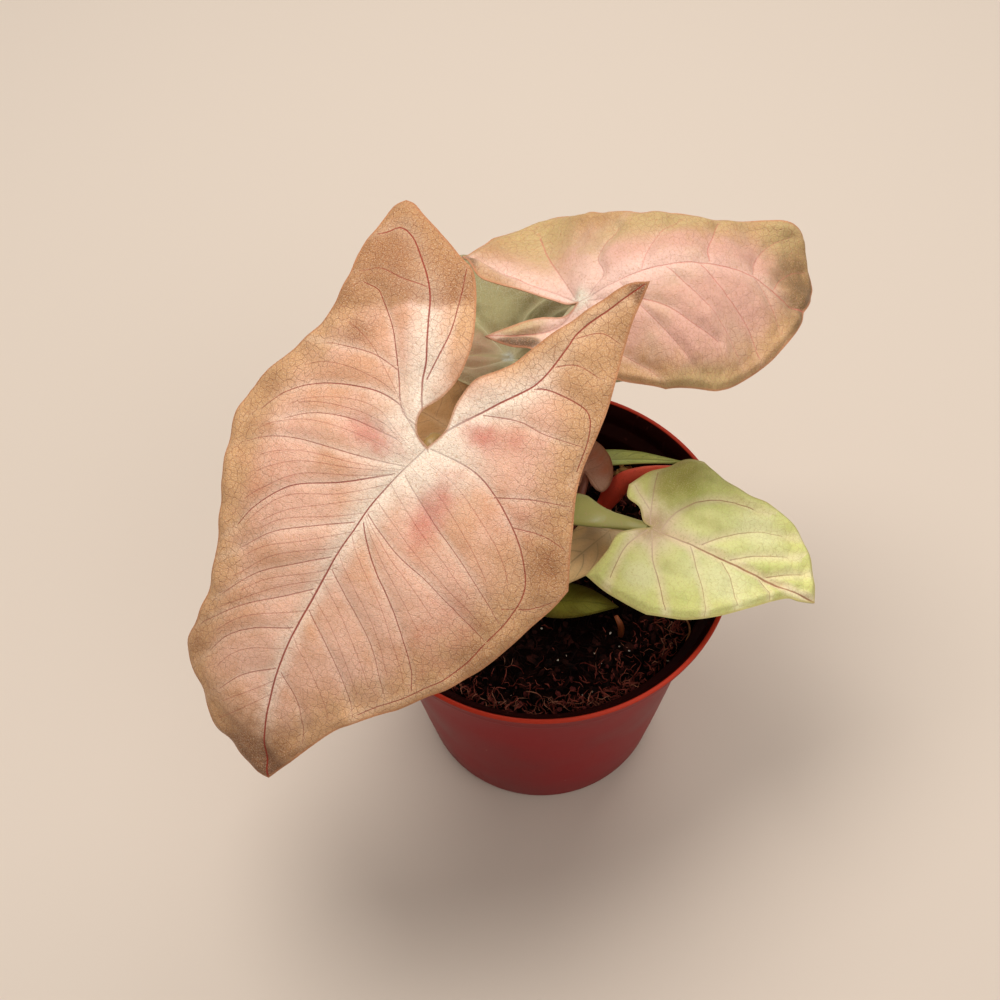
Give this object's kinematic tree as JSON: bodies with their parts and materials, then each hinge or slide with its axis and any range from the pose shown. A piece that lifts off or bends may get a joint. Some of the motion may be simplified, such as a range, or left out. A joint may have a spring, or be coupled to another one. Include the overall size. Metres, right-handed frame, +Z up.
{
  "type": "potted syngonium",
  "caption": "Young arrowhead vine in a small round nursery pot, with arrow-shaped pink and green leaves on slender stalks over dark soil.",
  "frame": {"origin": "centre of the pot's flat underside", "axes": "+Z up through the pot's middle, +X to the right and +Y away from the viewer in the front view, where the largest leaf hangs over the near left rim"},
  "size_m": [0.1621, 0.1495, 0.1925],
  "materials": {
    "pot": "satin brick-red plastic with a brighter lip",
    "soil": "dark coarse coir soil",
    "leaf_front": "soft satin leaf surface with sunken veins",
    "leaf_back": "soft satin leaf surface with sunken veins",
    "leaf_middle": "soft satin leaf surface with sunken veins",
    "leaf_rear": "soft satin leaf surface with sunken veins",
    "leaf_green": "soft satin leaf surface with sunken veins",
    "leaf_tan": "soft satin leaf surface with sunken veins",
    "leaf_mauve": "soft satin leaf surface with sunken veins",
    "leaf_fresh": "soft satin leaf surface with sunken veins",
    "leaf_olive": "soft satin leaf surface with sunken veins",
    "stalk_front": "smooth satin stalk",
    "stalk_back": "smooth satin stalk",
    "stalk_middle": "smooth satin stalk",
    "stalk_rear": "smooth satin stalk",
    "stalk_green": "smooth satin stalk",
    "stalk_tan": "smooth satin stalk",
    "stalk_mauve": "smooth satin stalk",
    "stalk_fresh": "smooth satin stalk",
    "stalk_olive": "smooth satin stalk",
    "new_leaf": "smooth coral-red rolled young leaf",
    "old_stub": "dry orange-brown stub"
  },
  "bodies": {
    "root": {"pot": "pot", "soil": "soil", "leaf_front": "leaf_front", "leaf_back": "leaf_back", "leaf_middle": "leaf_middle", "leaf_rear": "leaf_rear", "leaf_green": "leaf_green", "leaf_tan": "leaf_tan", "leaf_mauve": "leaf_mauve", "leaf_fresh": "leaf_fresh", "leaf_olive": "leaf_olive", "stalk_front": "stalk_front", "stalk_back": "stalk_back", "stalk_middle": "stalk_middle", "stalk_rear": "stalk_rear", "stalk_green": "stalk_green", "stalk_tan": "stalk_tan", "stalk_mauve": "stalk_mauve", "stalk_fresh": "stalk_fresh", "stalk_olive": "stalk_olive", "new_leaf": "new_leaf", "old_stub": "old_stub"}
  },
  "joints": []
}
